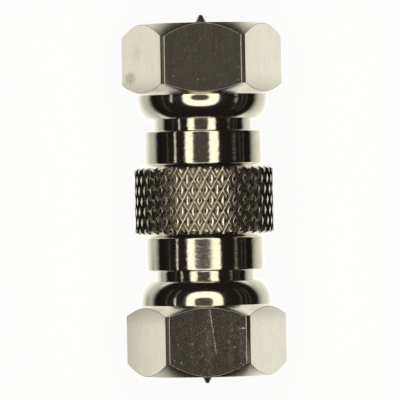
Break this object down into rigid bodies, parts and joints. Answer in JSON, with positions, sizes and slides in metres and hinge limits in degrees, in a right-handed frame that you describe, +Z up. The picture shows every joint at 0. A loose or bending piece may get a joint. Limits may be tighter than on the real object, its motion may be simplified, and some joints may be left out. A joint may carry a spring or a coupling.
{
  "type": "coaxial f connector adapter",
  "caption": "Straight coaxial F plug-to-plug adapter: knurled turned body, captive hexagon coupling nuts, and a centre contact pointed at both ends.",
  "frame": {"origin": "on the adapter's axis, at the middle of the knurled band", "axes": "+Y along the axis towards plug A, +Z up from the surface that the nut flats rest on, +X to the right in the picture's view"},
  "size_m": [0.0126, 0.0292, 0.011],
  "materials": {
    "body_nickel": "bright nickel plate over turned and knurled brass",
    "nut_nickel": "bright nickel plate over drawn hexagon bar, with fine lengthwise streaks",
    "contact_nickel": "dull nickel plate",
    "insulator_plastic": "white, slightly waxy",
    "ring_steel": "bare spring wire"
  },
  "bodies": {
    "body": {"adapter_body": "body_nickel", "centre_contact": "contact_nickel", "insulator_a": "insulator_plastic", "insulator_b": "insulator_plastic"},
    "ring_a": {"snap_ring_a": "ring_steel"},
    "nut_a": {"coupling_nut_a": "nut_nickel"},
    "ring_b": {"snap_ring_b": "ring_steel"},
    "nut_b": {"coupling_nut_b": "nut_nickel"}
  },
  "joints": [
    {"name": "nut_a_float", "type": "slide", "parent": "body", "child": "ring_a", "axis": [0, 1, 0], "range_m": [-0.00026, 0.00014]},
    {"name": "nut_a_turn", "type": "hinge", "parent": "ring_a", "child": "nut_a", "pos_m": [0, 0.0112, 0], "axis": [0, 1, 0], "continuous": true},
    {"name": "nut_b_float", "type": "slide", "parent": "body", "child": "ring_b", "axis": [0, -1, 0], "range_m": [-0.00014, 0.00026]},
    {"name": "nut_b_turn", "type": "hinge", "parent": "ring_b", "child": "nut_b", "pos_m": [0, -0.0111, 0], "axis": [0, -1, 0], "continuous": true}
  ]
}
